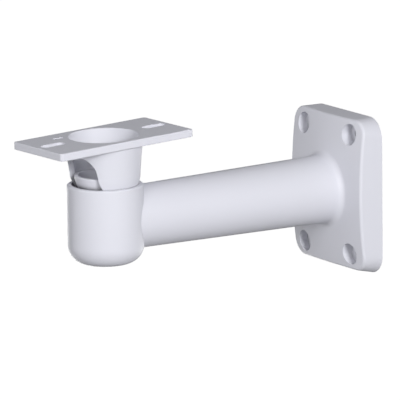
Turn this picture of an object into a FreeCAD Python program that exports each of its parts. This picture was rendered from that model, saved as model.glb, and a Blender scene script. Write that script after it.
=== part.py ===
"""Camera wall bracket: a cast arm on a domed wall plate, with a clamped ball-joint head.

Row frame in millimetres: the origin lies on the wall face at the centre of the four fixing
holes, the wall lies in the XZ plane, the arm reaches out along -Y and +Z is up.
The head is drawn about its own ball centre, then turned to the setting that it is kept in.
"""

import FreeCAD, Part
import math
import os
import Sketcher

SIZES = {
    # Wall plate
    "plate_width": 106.4,
    "plate_height": 131.4,
    "plate_draft": 0.6,
    "plate_foot_drop": 4.5,
    "plate_foot_draft": 6.6,
    "plate_centre_thickness": 26,
    "plate_face_radius": 410,
    "plate_back_corner_radius": 17.5,
    "plate_front_corner_radius": 11.5,
    "plate_edge_round": 2.5,
    "plate_wall": 5,
    "fixing_inset_across": 19.2,
    "fixing_inset_up": 13.7,
    "fixing_hole_diameter": 9,
    "counterbore_diameter": 18.5,
    "counterbore_floor": 12,
    "counterbore_wall": 3.75,
    "core_depth": 15.5,
    "core_corner_radius": 4,
    # Arm
    "arm_reach": 245,
    "arm_root_radius": 29.7,
    "arm_end_radius": 26.2,
    "arm_root_fillet": 5,
    "arm_wall": 5.5,
    "channel_end_inset": 6,
    # Cup at the end of the arm
    "cup_rim_wall": 2.2,
    "cup_rim_drop": 10.7,
    "cup_bottom_depth": 35.5,
    "cup_bottom_round": 16,
    "cup_rim_round": 1.4,
    "cup_floor_thickness": 8,
    "seat_width": 8,
    "recess_depth": 15,
    "recess_clearance": 1.5,
    # Ball joint
    "ball_height": 42.5,
    "ball_radius": 30,
    "skirt_thickness": 3.7,
    "skirt_foot_depth": 20,
    "ball_clearance": 0.3,
    "pan_setting": 4,
    "tilt_setting": 1.5,
    # Swivel head, with heights above the ball centre
    "head_length": 136,
    "head_side_margin": 2,
    "head_thickness": 6.6,
    "head_top_height": 30.5,
    "head_corner_radius": 2.5,
    "head_edge_round": 0.8,
    "neck_flare": 2.5,
    "neck_fillet": 1.2,
    "neck_top_wall": 3.3,
    "head_hole_round": 1,
    "funnel_foot_height": 2,
    "slot_end_margin": 4.75,
    "slot_length": 22.8,
    "slot_width": 9,
    "dimple_length": 10,
    "dimple_width": 4,
    "dimple_depth": 0.6,
    "dimple_across": 17.6,
    "dimple_along": 33.8,
    "arch_side_margin": 9.7,
    "arch_top_margin": 5.9,
    "arch_corner_radius": 14,
    "arch_flare": 2.4,
    # Clamp bowl
    "bowl_wall": 3.2,
    "bowl_rim_drop": 2.4,
    "bowl_rim_round": 0.8,
    "bowl_floor_thickness": 3.6,
    "bowl_floor_cove": 3,
    "nut_ring_wall": 2,
    "nut_ring_height": 4,
    "nut_ring_root": 1,
    "window_inner_margin": 0.7,
    "window_outer_margin": 2.1,
    "window_half_angle": 34,
    "window_count": 3,
    # Clamp screw, nut and washers
    "screw_diameter": 10,
    "screw_tip_stand": 0.7,
    "screw_head_diameter": 16,
    "screw_head_height": 10,
    "screw_socket_width": 8,
    "screw_socket_depth": 5,
    "screw_tip_chamfer": 1,
    "screw_hole_clearance": 0.5,
    "thread_clearance": 0.05,
    "nut_width": 16,
    "nut_height": 8.4,
    "nut_chamfer": 0.8,
    "nut_pocket_clearance": 0.1,
    "washer_diameter": 20,
    "washer_bore_clearance": 0.25,
    "washer_thickness": 2,
    "spring_washer_diameter": 18,
    "spring_washer_bore_clearance": 0.1,
    "spring_washer_thickness": 2.2,
    "spring_washer_split": 1.5,
}

CUT_MARGIN = 2.0  # how far a cutter reaches past the face that it opens
SAME_PLACE = 0.01  # how near two places are taken for one
HALF_CIRCLE = "half circle"
ADDING_TYPES = ("PartDesign::Pad", "PartDesign::Revolution")
CUTTING_TYPES = ("PartDesign::Pocket", "PartDesign::Groove", "PartDesign::PolarPattern")

# Levels and radii that several features share, as expressions on the sheet
FIXING_X = "(plate_width / 2 - fixing_inset_across)"
FIXING_Z = "(plate_height / 2 - fixing_inset_up)"
CUP_RADIUS = "(ball_radius + cup_rim_wall)"
CUP_RIM = "(ball_height - cup_rim_drop)"
CAVITY_RADIUS = "(ball_radius - seat_width)"
CAVITY_FLOOR = "(recess_depth + cup_floor_thickness - cup_bottom_depth)"
SKIRT_INNER = "(ball_radius - skirt_thickness)"
HEAD_UNDERSIDE = "(head_top_height - head_thickness)"
NECK_TOP_RADIUS = "(ball_radius + neck_flare)"
HEAD_HALF_WIDTH = f"({NECK_TOP_RADIUS} + head_side_margin)"
HEAD_HOLE_RADIUS = f"({NECK_TOP_RADIUS} - neck_top_wall)"
SLOT_PITCH = "(head_length - 2 * slot_end_margin - slot_length)"
BOWL_OUTER = f"({SKIRT_INNER} - ball_clearance)"
BOWL_INNER = f"({BOWL_OUTER} - bowl_wall)"
BOWL_FLOOR = f"({BOWL_OUTER} - bowl_floor_thickness)"
NUT_POCKET = "(nut_width + 2 * nut_pocket_clearance)"
NUT_RING_RADIUS = f"({NUT_POCKET} / 3 ^ 0.5 + nut_ring_wall)"
NUT_SEAT = f"(ball_height - {BOWL_FLOOR})"
SCREW_SEAT = "(recess_depth - cup_bottom_depth)"
SCREW_HEAD_SEAT = f"({SCREW_SEAT} - washer_thickness - spring_washer_thickness)"
SCREW_LENGTH = f"({NUT_SEAT} + nut_height + screw_tip_stand - {SCREW_HEAD_SEAT})"
SCREW_HOLE_RADIUS = "(screw_diameter / 2 + screw_hole_clearance)"
THREAD_BORE = "(screw_diameter / 2 + thread_clearance)"

doc = FreeCAD.newDocument("CameraWallBracket")
sheet = doc.addObject("Spreadsheet::Sheet", "Sizes")
for row, (alias, number) in enumerate(SIZES.items(), start=1):
    sheet.set(f"A{row}", alias)
    sheet.set(f"B{row}", str(number))
    sheet.setAlias(f"B{row}", alias)
doc.recompute()


def expand(text):
    """Writes an expression on the sheet's aliases out in full."""
    words = []
    word = ""
    for letter in text + " ":
        if letter.isalnum() or letter in "_.":
            word += letter
            continue
        words.append(f"Sizes.{word}" if word in SIZES else word)
        words.append(letter)
        word = ""
    return "".join(words).strip()


def size(text):
    """The present value of an expression on the sheet's aliases."""
    value = sheet.evalExpression(expand(text))
    return float(getattr(value, "Value", value))


def bind(feature, prop, text):
    """Ties a property to an expression on the sheet."""
    feature.setExpression(prop, expand(text))


def new_body(name):
    body = doc.addObject("PartDesign::Body", name)
    body.Label = name
    return body


def new_sketch(body, name, plane, offset=None):
    """A sketch on one of the body's own origin planes; offset gives its x, y and z shifts."""
    sketch = body.newObject("Sketcher::SketchObject", name)
    origin_plane = next(f for f in body.Origin.OriginFeatures if f.Role == plane)
    sketch.AttachmentSupport = [(origin_plane, "")]
    sketch.MapMode = "FlatFace"
    for axis, text in (offset or {}).items():
        bind(sketch, f".AttachmentOffset.Base.{axis}", text)
    return sketch


def pin_point(sketch, geometry, end, x_text, y_text):
    """Dimensions one point from the sketch origin, or puts it on an axis where that is zero."""
    for kind, axis, text in (("DistanceX", -2, x_text), ("DistanceY", -1, y_text)):
        if text == "0":
            sketch.addConstraint(Sketcher.Constraint("PointOnObject", geometry, end, axis))
            continue
        number = sketch.addConstraint(Sketcher.Constraint(kind, -1, 1, geometry, end, size(text)))
        bind(sketch, f"Constraints[{number}]", text)


def draw_outline(sketch, points):
    """A closed outline. Each point is (x, y), and (x, y, radius, side) starts an arc there.

    Side is 1 for an arc that turns left on its way to the next point, and -1 for right.
    The radius HALF_CIRCLE makes the chord to the next point the arc's diameter.
    """
    count = len(points)
    first = sketch.GeometryCount
    places = [FreeCAD.Vector(size(p[0]), size(p[1]), 0) for p in points]
    for index, point in enumerate(points):
        start, end = places[index], places[(index + 1) % count]
        if len(point) == 2:
            sketch.addGeometry(Part.LineSegment(start, end), False)
            continue
        chord = end - start
        radius = chord.Length / 2 if point[2] == HALF_CIRCLE else size(point[2])
        sagitta = radius - math.sqrt(max(radius ** 2 - (chord.Length / 2) ** 2, 0))
        outward = FreeCAD.Vector(chord.y, -chord.x, 0).normalize() * point[3]
        middle = (start + end) * 0.5 + outward * sagitta
        ends = (start, end) if point[3] > 0 else (end, start)
        sketch.addGeometry(Part.Arc(ends[0], middle, ends[1]), False)
    for index, point in enumerate(points):
        curve = first + index
        follower = first + (index + 1) % count
        joint = places[(index + 1) % count]
        sketch.addConstraint(Sketcher.Constraint("Coincident", curve, end_of(sketch, curve, joint),
                                                 follower, end_of(sketch, follower, joint)))
        pin_point(sketch, curve, end_of(sketch, curve, places[index]), point[0], point[1])
        if len(point) == 2:
            continue
        if point[2] == HALF_CIRCLE:
            sketch.addConstraint(Sketcher.Constraint("Symmetric", curve, 1, curve, 2, curve, 3))
            continue
        number = sketch.addConstraint(Sketcher.Constraint("Radius", curve, size(point[2])))
        bind(sketch, f"Constraints[{number}]", point[2])


def end_of(sketch, geometry, place):
    """Which end of a curve, 1 or 2, lies at a place."""
    curve = sketch.Geometry[geometry]
    return 1 if curve.StartPoint.distanceToPoint(place) < curve.EndPoint.distanceToPoint(place) else 2


def draw_circle(sketch, x_text, y_text, radius_text):
    centre = FreeCAD.Vector(size(x_text), size(y_text), 0)
    number = sketch.addGeometry(Part.Circle(centre, FreeCAD.Vector(0, 0, 1), size(radius_text)), False)
    pin_point(sketch, number, 3, x_text, y_text)
    row = sketch.addConstraint(Sketcher.Constraint("Radius", number, size(radius_text)))
    bind(sketch, f"Constraints[{row}]", radius_text)


def rounded_rectangle(half_x, half_y, radius, x="0", y="0"):
    """Outline points of a rectangle with round corners, about a centre."""
    left, right = f"{x} - ({half_x})", f"{x} + ({half_x})"
    low, high = f"{y} - ({half_y})", f"{y} + ({half_y})"
    return [
        (f"{left} + {radius}", low),
        (f"{right} - {radius}", low, radius, 1),
        (right, f"{low} + {radius}"),
        (right, f"{high} - {radius}", radius, 1),
        (f"{right} - {radius}", high),
        (f"{left} + {radius}", high, radius, 1),
        (left, f"{high} - {radius}"),
        (left, f"{low} + {radius}", radius, 1),
    ]


def cross(half_x, half_y, arm_x, arm_y):
    """Outline points of an upright cross about the origin."""
    corners = [(arm_x, half_y), (arm_x, arm_y), (half_x, arm_y)]
    points = []
    for x, y in corners:
        points.append((x, f"0 - {y}"))
    for x, y in reversed(corners):
        points.append((x, y))
    for x, y in corners:
        points.append((f"0 - {x}", y))
    for x, y in reversed(corners):
        points.append((f"0 - {x}", f"0 - {y}"))
    return points


def lengthwise_slot(half_length, radius, x, y):
    """Outline points of a slot with round ends that runs along y."""
    left, right = f"{x} - {radius}", f"{x} + {radius}"
    low, high = f"{y} - ({half_length}) + {radius}", f"{y} + ({half_length}) - {radius}"
    return [
        (right, low),
        (right, high, HALF_CIRCLE, 1),
        (left, high),
        (left, low, HALF_CIRCLE, 1),
    ]


def add_pad(body, sketch, length_text, backwards=False):
    pad = body.newObject("PartDesign::Pad", sketch.Name + "Pad")
    pad.Profile = sketch
    pad.Reversed = backwards
    bind(pad, "Length", length_text)
    return pad


def add_pocket(body, sketch, length_text, backwards=False):
    pocket = body.newObject("PartDesign::Pocket", sketch.Name + "Pocket")
    pocket.Profile = sketch
    pocket.Reversed = backwards
    bind(pocket, "Length", length_text)
    return pocket


def add_loft(body, sketch, sections):
    """A solid with straight sides from one outline through others."""
    loft = body.newObject("PartDesign::AdditiveLoft", sketch.Name + "Loft")
    loft.Profile = sketch
    loft.Sections = sections
    loft.Ruled = True
    return loft


def add_turned(body, sketch, kind, axis="V_Axis"):
    """A Revolution or a Groove of a sketch through a full turn about one of its axes."""
    turned = body.newObject(f"PartDesign::{kind}", sketch.Name + kind)
    turned.Profile = sketch
    turned.ReferenceAxis = (sketch, [axis])
    turned.Angle = 360
    return turned


def edges_where(feature, test):
    """Names of the edges of a feature whose every sampled point passes a test."""
    names = []
    for number, edge in enumerate(feature.Shape.Edges, start=1):
        if not edge.Degenerated and all(test(point) for point in edge.discretize(5)):
            names.append(f"Edge{number}")
    return names


def on_circle(point, radius, height):
    """Whether a point lies on a level circle about the Z axis."""
    off_circle = abs(math.hypot(point.x, point.y) - radius)
    return abs(point.z - height) < SAME_PLACE and off_circle < SAME_PLACE


def upright_edges(feature, depth):
    """Names of the straight edges that run from the wall face into the plate by a depth."""
    names = []
    for number, edge in enumerate(feature.Shape.Edges, start=1):
        box = edge.BoundBox
        if box.XLength + box.ZLength < SAME_PLACE and abs(box.YLength - depth) < SAME_PLACE:
            names.append(f"Edge{number}")
    return names


def add_fillet(body, base, names, radius_text):
    fillet = body.newObject("PartDesign::Fillet", base.Name + "Fillet")
    fillet.Base = (base, names)
    bind(fillet, "Radius", radius_text)
    return fillet


def make_arm():
    """Wall plate, hollow arm and cup: one casting."""
    body = new_body("arm_casting")

    back = new_sketch(body, "PlateBack", "XZ_Plane")
    half_height = "(plate_height + plate_foot_drop) / 2"
    draw_outline(back, rounded_rectangle("plate_width / 2", half_height, "plate_back_corner_radius",
                                         y="(0 - plate_foot_drop / 2)"))
    front = new_sketch(body, "PlateFront", "XZ_Plane", {"z": "plate_centre_thickness"})
    less = "(plate_draft + plate_foot_draft) / 2"
    draw_outline(front, rounded_rectangle("plate_width / 2 - plate_draft", f"{half_height} - {less}",
                                          "plate_front_corner_radius",
                                          y="((plate_foot_draft - plate_draft - plate_foot_drop) / 2)"))
    add_loft(body, back, [front])

    dome = new_sketch(body, "DomeOutside", "YZ_Plane")
    reach = "((plate_width ^ 2 + (plate_height + 2 * plate_foot_drop) ^ 2) ^ 0.5 / 2)"
    crown = "0 - plate_centre_thickness"
    shoulder = f"{crown} + plate_face_radius - (plate_face_radius ^ 2 - {reach} ^ 2) ^ 0.5"
    draw_outline(dome, [
        (crown, "0", "plate_face_radius", -1),
        (shoulder, reach),
        (f"{crown} - {CUT_MARGIN}", reach),
        (f"{crown} - {CUT_MARGIN}", "0"),
    ])
    dome_cut = add_turned(body, dome, "Groove", "H_Axis")
    doc.recompute()

    front_edges = edges_where(dome_cut, lambda p: p.y < -SAME_PLACE)
    add_fillet(body, dome_cut, front_edges, "plate_edge_round")

    core = new_sketch(body, "PlateCore", "XZ_Plane")
    post = "(counterbore_diameter / 2 + counterbore_wall)"
    draw_outline(core, cross(
        "(plate_width / 2 - plate_wall)", "(plate_height / 2 - plate_wall)",
        f"({FIXING_X} - {post})", f"({FIXING_Z} - {post})"))
    hollow = add_pocket(body, core, "core_depth", True)
    doc.recompute()
    add_fillet(body, hollow, upright_edges(hollow, size("core_depth")), "core_corner_radius")

    arm = new_sketch(body, "ArmProfile", "YZ_Plane")
    draw_outline(arm, [
        ("0", "0"),
        ("0", "arm_root_radius"),
        ("0 - arm_reach", "arm_end_radius"),
        ("0 - arm_reach", "0"),
    ])
    arm_cone = add_turned(body, arm, "Revolution", "H_Axis")
    doc.recompute()

    root = size("arm_root_radius")
    face = size("plate_centre_thickness")
    fall = size("plate_face_radius - (plate_face_radius ^ 2 - arm_root_radius ^ 2) ^ 0.5")
    root_edges = edges_where(
        arm_cone, lambda p: math.hypot(p.x, p.z) < root and -face < p.y < 2 * fall - face)
    add_fillet(body, arm_cone, root_edges, "arm_root_fillet")

    cup = new_sketch(body, "CupProfile", "YZ_Plane", {"x": "0 - arm_reach"})
    draw_outline(cup, [
        ("0", "0 - cup_bottom_depth"),
        (f"{CUP_RADIUS} - cup_bottom_round", "0 - cup_bottom_depth", "cup_bottom_round", 1),
        (CUP_RADIUS, "cup_bottom_round - cup_bottom_depth"),
        (CUP_RADIUS, f"{CUP_RIM} - cup_rim_round", "cup_rim_round", 1),
        (f"{CUP_RADIUS} - cup_rim_round", CUP_RIM),
        ("0", CUP_RIM),
    ])
    add_turned(body, cup, "Revolution")

    channel = new_sketch(body, "CableChannel", "YZ_Plane")
    draw_outline(channel, [
        (f"{CUT_MARGIN}", "0"),
        (f"{CUT_MARGIN}", "arm_root_radius - arm_wall"),
        (f"{CAVITY_RADIUS} - channel_end_inset - arm_reach", "arm_end_radius - arm_wall"),
        (f"{CAVITY_RADIUS} - channel_end_inset - arm_reach", "0"),
    ])
    add_turned(body, channel, "Groove", "H_Axis")

    seat = new_sketch(body, "SeatAndCavity", "YZ_Plane", {"x": "0 - arm_reach"})
    seat_radius = "(ball_radius + ball_clearance)"
    mouth_radius = f"({seat_radius} ^ 2 - cup_rim_drop ^ 2) ^ 0.5"
    draw_outline(seat, [
        ("0", CAVITY_FLOOR),
        (CAVITY_RADIUS, CAVITY_FLOOR),
        (CAVITY_RADIUS, f"ball_height - ({seat_radius} ^ 2 - {CAVITY_RADIUS} ^ 2) ^ 0.5", seat_radius, 1),
        (mouth_radius, CUP_RIM),
        (mouth_radius, f"{CUP_RIM} + {CUT_MARGIN}"),
        ("0", f"{CUP_RIM} + {CUT_MARGIN}"),
    ])
    add_turned(body, seat, "Groove")

    recess = new_sketch(body, "ScrewRecess", "YZ_Plane", {"x": "0 - arm_reach"})
    draw_outline(recess, [
        ("0", f"0 - cup_bottom_depth - {CUT_MARGIN}"),
        ("washer_diameter / 2 + recess_clearance", f"0 - cup_bottom_depth - {CUT_MARGIN}"),
        ("washer_diameter / 2 + recess_clearance", SCREW_SEAT),
        (SCREW_HOLE_RADIUS, SCREW_SEAT),
        (SCREW_HOLE_RADIUS, f"{CAVITY_FLOOR} + {CUT_MARGIN}"),
        ("0", f"{CAVITY_FLOOR} + {CUT_MARGIN}"),
    ])
    add_turned(body, recess, "Groove")

    holes = new_sketch(body, "FixingHoles", "XZ_Plane", {"z": f"0 - {CUT_MARGIN}"})
    counterbores = new_sketch(body, "Counterbores", "XZ_Plane", {"z": "counterbore_floor"})
    for side in ("", "0 - "):
        for height in ("", "0 - "):
            across, up = side + FIXING_X, height + FIXING_Z
            draw_circle(holes, across, up, "fixing_hole_diameter / 2")
            draw_circle(counterbores, across, up, "counterbore_diameter / 2")
    add_pocket(body, holes, f"plate_centre_thickness + 2 * {CUT_MARGIN}", True)
    add_pocket(body, counterbores, "plate_centre_thickness", True)
    return body


def make_head():
    """Camera plate, neck and spherical skirt: one casting, drawn about the ball centre."""
    body = new_body("swivel_head")
    plate = new_sketch(body, "HeadPlate", "XY_Plane", {"z": HEAD_UNDERSIDE})
    draw_outline(plate, rounded_rectangle(HEAD_HALF_WIDTH, "head_length / 2", "head_corner_radius"))
    add_pad(body, plate, "head_thickness")
    doc.recompute()
    top = size("head_top_height")
    low = size(HEAD_UNDERSIDE)
    flat = edges_where(body.Tip, lambda p: abs(p.z - top) < SAME_PLACE or abs(p.z - low) < SAME_PLACE)
    add_fillet(body, body.Tip, flat, "head_edge_round")

    neck = new_sketch(body, "NeckProfile", "XZ_Plane")
    draw_outline(neck, [
        ("0", "0 - skirt_foot_depth"),
        ("(ball_radius ^ 2 - skirt_foot_depth ^ 2) ^ 0.5", "0 - skirt_foot_depth", "ball_radius", 1),
        ("ball_radius", "0"),
        (NECK_TOP_RADIUS, HEAD_UNDERSIDE),
        ("0", HEAD_UNDERSIDE),
    ])
    add_turned(body, neck, "Revolution")
    doc.recompute()
    neck_top = size(NECK_TOP_RADIUS)
    joint = edges_where(body.Tip, lambda p: on_circle(p, neck_top, low))
    add_fillet(body, body.Tip, joint, "neck_fillet")

    foot = f"({SKIRT_INNER} ^ 2 - skirt_foot_depth ^ 2) ^ 0.5"
    funnel = new_sketch(body, "FunnelInside", "XZ_Plane")
    draw_outline(funnel, [
        ("0", f"0 - skirt_foot_depth - {CUT_MARGIN}"),
        (foot, f"0 - skirt_foot_depth - {CUT_MARGIN}"),
        (foot, "0 - skirt_foot_depth", SKIRT_INNER, 1),
        (SKIRT_INNER, "0"),
        (SKIRT_INNER, "funnel_foot_height"),
        (HEAD_HOLE_RADIUS, "head_top_height"),
        (HEAD_HOLE_RADIUS, f"head_top_height + {CUT_MARGIN}"),
        ("0", f"head_top_height + {CUT_MARGIN}"),
    ])
    add_turned(body, funnel, "Groove")
    doc.recompute()
    hole = size(HEAD_HOLE_RADIUS)
    mouth = edges_where(body.Tip, lambda p: on_circle(p, hole, top))
    add_fillet(body, body.Tip, mouth, "head_hole_round")

    arch = new_sketch(body, "CableArch", "XZ_Plane")
    half_width = "(ball_radius - arch_side_margin)"
    top = f"({HEAD_UNDERSIDE} - arch_top_margin)"
    draw_outline(arch, [
        (f"0 - {half_width} - arch_flare", f"0 - skirt_foot_depth - {CUT_MARGIN}"),
        (f"{half_width} + arch_flare", f"0 - skirt_foot_depth - {CUT_MARGIN}"),
        (half_width, f"{top} - arch_corner_radius", "arch_corner_radius", 1),
        (f"{half_width} - arch_corner_radius", top),
        (f"arch_corner_radius - {half_width}", top, "arch_corner_radius", 1),
        (f"0 - {half_width}", f"{top} - arch_corner_radius"),
    ])
    add_pocket(body, arch, f"{NECK_TOP_RADIUS} + {CUT_MARGIN}", True)

    slots = new_sketch(body, "CameraSlots", "XY_Plane", {"z": f"head_top_height + {CUT_MARGIN}"})
    for end in ("", "0 - "):
        along = f"{end}{SLOT_PITCH} / 2"
        draw_outline(slots, lengthwise_slot("slot_length / 2", "slot_width / 2", "0", along))
    add_pocket(body, slots, f"head_thickness + 2 * {CUT_MARGIN}")

    dimple = new_sketch(body, "PlateDimple", "XY_Plane", {"z": f"head_top_height + {CUT_MARGIN}"})
    draw_outline(dimple, lengthwise_slot("dimple_length / 2", "dimple_width / 2",
                                         "0 - dimple_across", "0 - dimple_along"))
    add_pocket(body, dimple, f"dimple_depth + {CUT_MARGIN}")

    setting = FreeCAD.Rotation(FreeCAD.Vector(0, 0, 1), size("pan_setting"))
    setting = setting * FreeCAD.Rotation(FreeCAD.Vector(1, 0, 0), size("tilt_setting"))
    body.Placement = FreeCAD.Placement(FreeCAD.Vector(0, -size("arm_reach"), size("ball_height")), setting)
    return body


def stand_on_cup_axis(body, height):
    """Stands a body on the cup's axis, turned with the head."""
    spin = FreeCAD.Rotation(FreeCAD.Vector(0, 0, 1), size("pan_setting"))
    body.Placement = FreeCAD.Placement(FreeCAD.Vector(0, -size("arm_reach"), size(height)), spin)
    return body


def hexagon(width):
    """Outline points of a hexagon, given its width across flats."""
    corner = f"({width} / 3 ^ 0.5)"
    return [
        (f"{width} / 2", f"0 - {corner} / 2"),
        (f"{width} / 2", f"{corner} / 2"),
        ("0", corner),
        (f"0 - {width} / 2", f"{corner} / 2"),
        (f"0 - {width} / 2", f"0 - {corner} / 2"),
        ("0", f"0 - {corner}"),
    ]


def make_bowl():
    """Hollow half ball that the clamp screw pulls down inside the skirt."""
    body = new_body("clamp_bowl")
    cove_level = f"({BOWL_FLOOR} - bowl_floor_cove)"
    shell = new_sketch(body, "BowlProfile", "XZ_Plane")
    draw_outline(shell, [
        (THREAD_BORE, f"0 - ({BOWL_OUTER} ^ 2 - {THREAD_BORE} ^ 2) ^ 0.5", BOWL_OUTER, 1),
        (f"({BOWL_OUTER} ^ 2 - bowl_rim_drop ^ 2) ^ 0.5", "0 - bowl_rim_drop"),
        (f"({BOWL_INNER} ^ 2 - bowl_rim_drop ^ 2) ^ 0.5", "0 - bowl_rim_drop", BOWL_INNER, -1),
        (f"({BOWL_INNER} ^ 2 - {cove_level} ^ 2) ^ 0.5", f"0 - {cove_level}"),
        (NUT_RING_RADIUS, f"0 - {BOWL_FLOOR}"),
        (THREAD_BORE, f"0 - {BOWL_FLOOR}"),
    ])
    add_turned(body, shell, "Revolution")

    ring = new_sketch(body, "NutRing", "XY_Plane", {"z": f"0 - {BOWL_FLOOR} - nut_ring_root"})
    draw_circle(ring, "0", "0", NUT_RING_RADIUS)
    draw_outline(ring, hexagon(NUT_POCKET))
    add_pad(body, ring, "nut_ring_height + nut_ring_root")

    window = new_sketch(body, "CableWindow", "XY_Plane")
    wide, narrow = f"({BOWL_INNER} - window_outer_margin)", f"({NUT_RING_RADIUS} + window_inner_margin)"
    side, up = "sin(window_half_angle)", "cos(window_half_angle)"
    draw_outline(window, [
        (f"0 - {narrow} * {side}", f"{narrow} * {up}", narrow, -1),
        (f"{narrow} * {side}", f"{narrow} * {up}"),
        (f"{wide} * {side}", f"{wide} * {up}", wide, 1),
        (f"0 - {wide} * {side}", f"{wide} * {up}"),
    ])
    cut = add_pocket(body, window, BOWL_OUTER)
    pattern = body.newObject("PartDesign::PolarPattern", "CableWindows")
    pattern.Originals = [cut]
    pattern.Axis = (window, ["N_Axis"])
    pattern.Angle = 360
    bind(pattern, "Occurrences", "window_count")
    body.Tip = pattern
    doc.recompute()
    rim = size("0 - bowl_rim_drop")
    lip = edges_where(pattern, lambda p: abs(p.z - rim) < SAME_PLACE)
    add_fillet(body, pattern, lip, "bowl_rim_round")
    return stand_on_cup_axis(body, "ball_height")


def make_nut():
    """Hexagon nut that sits in the bowl's floor."""
    body = new_body("clamp_nut")
    outline = new_sketch(body, "NutOutline", "XY_Plane")
    draw_outline(outline, hexagon("nut_width"))
    draw_circle(outline, "0", "0", THREAD_BORE)
    add_pad(body, outline, "nut_height")

    bevel = new_sketch(body, "NutBevel", "XZ_Plane")
    corner = "(nut_width / 3 ^ 0.5)"
    draw_outline(bevel, [
        (f"{corner} - nut_chamfer * 2", "nut_height"),
        (f"{corner} + nut_chamfer", "nut_height - nut_chamfer * 1.5"),
        (f"{corner} + nut_chamfer", f"nut_height + {CUT_MARGIN}"),
        (f"{corner} - nut_chamfer * 2", f"nut_height + {CUT_MARGIN}"),
    ])
    add_turned(body, bevel, "Groove")
    return stand_on_cup_axis(body, NUT_SEAT)


def make_screw():
    """Socket head screw that comes up through the cup's floor, drawn from the face of its head."""
    body = new_body("clamp_screw")
    profile = new_sketch(body, "ScrewProfile", "XZ_Plane")
    draw_outline(profile, [
        ("0", "0 - screw_head_height"),
        ("screw_head_diameter / 2 - screw_tip_chamfer", "0 - screw_head_height"),
        ("screw_head_diameter / 2", "screw_tip_chamfer - screw_head_height"),
        ("screw_head_diameter / 2", "0"),
        ("screw_diameter / 2", "0"),
        ("screw_diameter / 2", f"{SCREW_LENGTH} - screw_tip_chamfer"),
        ("screw_diameter / 2 - screw_tip_chamfer", SCREW_LENGTH),
        ("0", SCREW_LENGTH),
    ])
    add_turned(body, profile, "Revolution")
    socket = new_sketch(body, "HexSocket", "XY_Plane", {"z": f"0 - screw_head_height - {CUT_MARGIN}"})
    draw_outline(socket, hexagon("screw_socket_width"))
    add_pocket(body, socket, f"screw_socket_depth + {CUT_MARGIN}", True)
    return stand_on_cup_axis(body, SCREW_HEAD_SEAT)


def make_washer():
    """Flat washer against the roof of the cup's recess."""
    body = new_body("flat_washer")
    ring = new_sketch(body, "WasherOutline", "XY_Plane")
    draw_circle(ring, "0", "0", "washer_diameter / 2")
    draw_circle(ring, "0", "0", "screw_diameter / 2 + washer_bore_clearance")
    add_pad(body, ring, "washer_thickness")
    return stand_on_cup_axis(body, f"{SCREW_SEAT} - washer_thickness")


def make_spring_washer():
    """Split spring washer between the flat washer and the screw's head."""
    body = new_body("spring_washer")
    ring = new_sketch(body, "SpringWasherOutline", "XY_Plane")
    draw_circle(ring, "0", "0", "spring_washer_diameter / 2")
    draw_circle(ring, "0", "0", "screw_diameter / 2 + spring_washer_bore_clearance")
    add_pad(body, ring, "spring_washer_thickness")
    split = new_sketch(body, "SpringWasherSplit", "XZ_Plane")
    lean = "spring_washer_thickness / 2"
    half = "spring_washer_split / 2"
    draw_outline(split, [
        (f"0 - {lean} - {half}", "0"),
        (f"{half} - {lean}", "0"),
        (f"{lean} + {half}", "spring_washer_thickness"),
        (f"{lean} - {half}", "spring_washer_thickness"),
    ])
    add_pocket(body, split, "spring_washer_diameter", True)
    return stand_on_cup_axis(body, SCREW_HEAD_SEAT)


def check(bodies):
    """Stops the build at any failed feature, poor shape, or cut that takes nothing away."""
    for item in doc.Objects:
        if "Invalid" in item.State or "Error" in item.State:
            raise RuntimeError(f"{item.Name} failed: {item.State}")
    for body in bodies:
        if body.Shape.isNull() or not body.Shape.isValid():
            raise RuntimeError(f"{body.Label} has no valid shape")
        for feature in body.Group:
            before = getattr(feature, "BaseFeature", None)
            if before is None:
                continue
            gained = feature.Shape.Volume - before.Shape.Volume
            if feature.TypeId in ADDING_TYPES and gained <= 0:
                raise RuntimeError(f"{feature.Name} adds nothing")
            if feature.TypeId in CUTTING_TYPES and gained >= 0:
                raise RuntimeError(f"{feature.Name} cuts nothing")


bodies = [make_arm(), make_head(), make_bowl(), make_nut(), make_screw(), make_washer(), make_spring_washer()]
doc.recompute()
check(bodies)
os.makedirs("parts", exist_ok=True)
for body in bodies:
    body.Shape.exportStep(f"parts/{body.Label}.step")
    print(body.Label, len(body.Shape.Solids), "solid", round(body.Shape.Volume), "mm3", body.Shape.BoundBox)
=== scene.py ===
"""Camera wall bracket, dressed for the photo's view."""

import math
import bpy
from mathutils import Matrix, Vector


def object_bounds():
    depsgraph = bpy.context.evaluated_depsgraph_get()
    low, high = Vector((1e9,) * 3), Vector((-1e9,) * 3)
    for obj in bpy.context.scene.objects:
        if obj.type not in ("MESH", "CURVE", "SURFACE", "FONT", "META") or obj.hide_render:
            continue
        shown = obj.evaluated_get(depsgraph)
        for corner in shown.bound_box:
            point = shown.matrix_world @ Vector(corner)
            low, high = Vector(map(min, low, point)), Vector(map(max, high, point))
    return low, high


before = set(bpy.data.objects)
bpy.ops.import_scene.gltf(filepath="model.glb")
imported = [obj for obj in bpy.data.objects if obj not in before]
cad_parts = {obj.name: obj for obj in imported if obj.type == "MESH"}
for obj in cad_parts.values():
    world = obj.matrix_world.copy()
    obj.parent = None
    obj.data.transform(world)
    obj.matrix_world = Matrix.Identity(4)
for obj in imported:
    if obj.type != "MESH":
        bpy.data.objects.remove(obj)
cad_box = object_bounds()

# The photo's camera, in the bracket's frame. The place is that of the frame's origin as the camera
# sees it: right, up and back, in metres.
CAMERA_AZIMUTH = 57.1
CAMERA_ELEVATION = 12.06
CAMERA_ROLL = -0.73
CAMERA_LENS_MM = 478.07
SENSOR_WIDTH_MM = 36.0
ORIGIN_IN_CAMERA = Vector((0.12649, 0.01299, -4.56993))
CLIP_START, CLIP_END = 0.05, 200
PICTURE_GAMMA = 1.4

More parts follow.
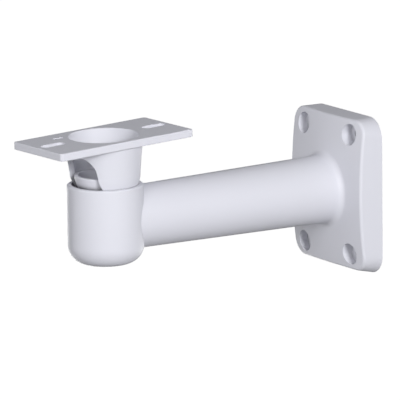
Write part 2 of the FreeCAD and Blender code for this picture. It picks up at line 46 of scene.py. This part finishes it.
# Name, azimuth and elevation in degrees, size in metres and power in watts
SOFTBOXES = [
    ("key", 81, 21, 0.5, 43),
    ("front_fill", 39, 19, 1.2, 21),
    ("left_fill", -35, 6, 1.2, 6),
    ("back_fill", 195, -14, 1.2, 18),
    ("left_back_fill", -105, -16, 1.2, 18),
]
SOFTBOX_DISTANCE = 2.2
SOFTBOX_TARGET = Vector((0, -0.14, 0))  # the arm's middle

# World light from above and from below, and how far to each side of the horizon they blend
SKY_LIGHT = 0.04
GROUND_LIGHT = 0.19
HORIZON_BLEND = 0.2

# The floor's place below the bracket and half its side, in metres
FLOOR_DROP = 2.4
FLOOR_HALF = 30.0

# Paint
PAINT_COLOUR = (0.55, 0.555, 0.63)
PAINT_CLOUD_SHADE = 0.985
PAINT_ROUGHNESS = 0.46
PAINT_ROUGHNESS_SPREAD = 0.04
PAINT_GRAIN_HEIGHT = 0.00004

# Shade painted into narrow gaps: how far off a surface counts, how open a point is where the
# painted shade is full and where it ends, and what is left of the colour where it is full
GAP_REACH = 0.014
GAP_CLOSED = 0.14
GAP_OPEN = 0.46
GAP_DARKEST = 0.03
GAP_SAMPLES = 8

# Zinc plating: darkest and lightest tone, and its gloss between polished and dull
ZINC_DARK = (0.52, 0.53, 0.54)
ZINC_LIGHT = (0.70, 0.70, 0.68)
ZINC_ROUGHNESS = (0.26, 0.42)


def new_material(name):
    """A material with its node tree and its shader."""
    material = bpy.data.materials.new(name)
    material.use_nodes = True
    return material, material.node_tree, material.node_tree.nodes["Principled BSDF"]


def add_node(tree, kind, **inputs):
    """A new node with some inputs set. An underscore in an input's name stands for a space."""
    node = tree.nodes.new(kind)
    for name, value in inputs.items():
        node.inputs[name.replace("_", " ")].default_value = value
    return node


def add_tones(tree, fac, dark, light, start=0.0, end=1.0):
    """The colour that runs from dark to light between two values of fac."""
    tone = tree.nodes.new("ShaderNodeValToRGB")
    for element, position, colour in zip(tone.color_ramp.elements, (start, end), (dark, light)):
        element.position = position
        element.color = [*colour, 1]
    tree.links.new(fac, tone.inputs["Fac"])
    return tone.outputs["Color"]


def add_range(tree, value, low, high, start=0.0, end=1.0):
    """The number that runs from low to high between two values of another."""
    spread = add_node(tree, "ShaderNodeMapRange",
                      From_Min=start, From_Max=end, To_Min=low, To_Max=high)
    tree.links.new(value, spread.inputs["Value"])
    return spread.outputs["Result"]


def paint_shade_in_gaps(tree, colour):
    """Painted shade in the narrow gaps between pieces: darkens the colour where little is open
    around a point, and gives the shaded colour.
    """
    gaps = add_node(tree, "ShaderNodeAmbientOcclusion", Distance=GAP_REACH)
    gaps.samples = GAP_SAMPLES
    # Painted shade: the less open a point is, the darker its colour is painted
    unshaded_share = add_range(tree, gaps.outputs["AO"], GAP_DARKEST, 1.0, GAP_CLOSED, GAP_OPEN)
    painted_shade = tree.nodes.new("ShaderNodeMix")
    painted_shade.data_type = "RGBA"
    painted_shade.blend_type = "MULTIPLY"
    painted_shade.inputs["Factor"].default_value = 1.0
    tree.links.new(colour, painted_shade.inputs["A"])
    tree.links.new(unshaded_share, painted_shade.inputs["B"])
    return painted_shade.outputs["Result"]


def painted_metal(name):
    """Satin paint over a casting: faint cloudy tone, fine texture and soft gloss."""
    material, tree, shader = new_material(name)
    shader.inputs["IOR"].default_value = 1.45
    shader.inputs["Coat Weight"].default_value = 0.03
    shader.inputs["Coat Roughness"].default_value = 0.35

    place = tree.nodes.new("ShaderNodeTexCoord")
    cloud = add_node(tree, "ShaderNodeTexNoise", Scale=14, Detail=3)
    tree.links.new(place.outputs["Object"], cloud.inputs["Vector"])
    shade = [c * PAINT_CLOUD_SHADE for c in PAINT_COLOUR]
    tone = add_tones(tree, cloud.outputs["Fac"], shade, PAINT_COLOUR, 0.3, 0.7)
    # The base colour carries painted shade in the gaps
    tree.links.new(paint_shade_in_gaps(tree, tone), shader.inputs["Base Color"])
    gloss = add_range(tree, cloud.outputs["Fac"], PAINT_ROUGHNESS - PAINT_ROUGHNESS_SPREAD,
                      PAINT_ROUGHNESS + PAINT_ROUGHNESS_SPREAD)
    tree.links.new(gloss, shader.inputs["Roughness"])

    grain = add_node(tree, "ShaderNodeTexNoise", Scale=900, Detail=2)
    bump = add_node(tree, "ShaderNodeBump", Strength=0.35, Distance=PAINT_GRAIN_HEIGHT)
    tree.links.new(place.outputs["Object"], grain.inputs["Vector"])
    tree.links.new(grain.outputs["Fac"], bump.inputs["Height"])
    tree.links.new(bump.outputs["Normal"], shader.inputs["Normal"])
    return material


def plated_steel(name):
    """Zinc-plated fastener steel, with a slightly uneven tone and gloss."""
    material, tree, shader = new_material(name)
    shader.inputs["Metallic"].default_value = 1.0
    place = tree.nodes.new("ShaderNodeTexCoord")
    patches = add_node(tree, "ShaderNodeTexNoise", Scale=260, Detail=4)
    tree.links.new(place.outputs["Object"], patches.inputs["Vector"])
    tone = add_tones(tree, patches.outputs["Fac"], ZINC_DARK, ZINC_LIGHT)
    tree.links.new(tone, shader.inputs["Base Color"])
    gloss = add_range(tree, patches.outputs["Fac"], *ZINC_ROUGHNESS)
    tree.links.new(gloss, shader.inputs["Roughness"])
    return material


def dress_nodes():
    """Gives every carried-over solid its finish."""
    paint = painted_metal("cool_grey_paint")
    steel = plated_steel("zinc_plate")
    finishes = {
        "arm_casting": paint, "swivel_head": paint, "clamp_bowl": paint,
        "clamp_nut": steel, "clamp_screw": steel, "flat_washer": steel, "spring_washer": steel,
    }
    for name, material in finishes.items():
        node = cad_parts[name]
        if not node.material_slots:
            raise RuntimeError(f"{name} has no material slot")
        for slot in node.material_slots:
            slot.material = material


def make_floor():
    """A pale floor well below the bracket, which hangs on a wall. It sends no light back up."""
    centre_y = (cad_box[0].y + cad_box[1].y) / 2
    height = cad_box[0].z - FLOOR_DROP
    corners = [(side * FLOOR_HALF, centre_y + end * FLOOR_HALF, height)
               for side, end in ((-1, -1), (1, -1), (1, 1), (-1, 1))]
    mesh = bpy.data.meshes.new("floor")
    mesh.from_pydata(corners, [], [(0, 1, 2, 3)])
    floor = bpy.data.objects.new("floor", mesh)
    bpy.context.scene.collection.objects.link(floor)
    material, _, shader = new_material("pale_floor")
    shader.inputs["Base Color"].default_value = (0.9, 0.9, 0.9, 1)
    shader.inputs["Roughness"].default_value = 0.9
    shader.inputs["Emission Color"].default_value = (1, 1, 1, 1)
    shader.inputs["Emission Strength"].default_value = 1.0
    mesh.materials.append(material)
    floor.visible_diffuse = False
    floor.visible_glossy = False


def make_world():
    """Soft light that differs above and below, behind a plain white backdrop."""
    world = bpy.data.worlds.new("studio")
    world.use_nodes = True
    tree = world.node_tree
    background = tree.nodes["Background"]
    background.inputs["Color"].default_value = (1, 1, 1, 1)
    place = tree.nodes.new("ShaderNodeTexCoord")
    axes = tree.nodes.new("ShaderNodeSeparateXYZ")
    tree.links.new(place.outputs["Generated"], axes.inputs["Vector"])
    level = add_range(tree, axes.outputs["Z"], GROUND_LIGHT, SKY_LIGHT,
                      -HORIZON_BLEND, HORIZON_BLEND)
    rays = tree.nodes.new("ShaderNodeLightPath")
    seen = add_node(tree, "ShaderNodeMix", B=1.0)
    tree.links.new(rays.outputs["Is Camera Ray"], seen.inputs["Factor"])
    tree.links.new(level, seen.inputs["A"])
    tree.links.new(seen.outputs["Result"], background.inputs["Strength"])
    bpy.context.scene.world = world


def heading(azimuth, elevation):
    """A direction from degrees. Azimuth 0 is in front, on -Y, and 90 is to the right, on +X."""
    a, e = math.radians(azimuth), math.radians(elevation)
    return Vector((math.sin(a) * math.cos(e), -math.cos(a) * math.cos(e), math.sin(e)))


def add_softbox(name, azimuth, elevation, size, power):
    """A square area light that looks at the arm's middle."""
    away = heading(azimuth, elevation)
    data = bpy.data.lights.new(name, "AREA")
    data.shape = "SQUARE"
    data.size = size
    data.energy = power
    lamp = bpy.data.objects.new(name, data)
    lamp.location = SOFTBOX_TARGET + away * SOFTBOX_DISTANCE
    lamp.rotation_mode = "QUATERNION"
    lamp.rotation_quaternion = (-away).to_track_quat("-Z", "Y")
    bpy.context.scene.collection.objects.link(lamp)


def make_camera():
    """The camera fitted to the photo, from its three axes and the origin's place in them."""
    back = heading(CAMERA_AZIMUTH, CAMERA_ELEVATION)
    right = heading(CAMERA_AZIMUTH + 90, 0)
    up = back.cross(right)
    c, s = math.cos(math.radians(CAMERA_ROLL)), math.sin(math.radians(CAMERA_ROLL))
    right, up = right * c + up * s, up * c - right * s
    turn = Matrix((right, up, back)).transposed()
    data = bpy.data.cameras.new("photo_camera")
    data.sensor_fit = "HORIZONTAL"
    data.sensor_width = SENSOR_WIDTH_MM
    data.lens = CAMERA_LENS_MM
    data.clip_start = CLIP_START
    data.clip_end = CLIP_END
    camera = bpy.data.objects.new("photo_camera", data)
    camera.rotation_mode = "QUATERNION"
    camera.rotation_quaternion = turn.to_quaternion()
    camera.location = -(turn @ ORIGIN_IN_CAMERA)
    bpy.context.scene.collection.objects.link(camera)
    bpy.context.scene.camera = camera


bpy.context.scene.view_settings.view_transform = "Standard"
bpy.context.scene.view_settings.gamma = PICTURE_GAMMA
make_camera()
dress_nodes()
make_floor()
make_world()
for softbox in SOFTBOXES:
    add_softbox(*softbox)
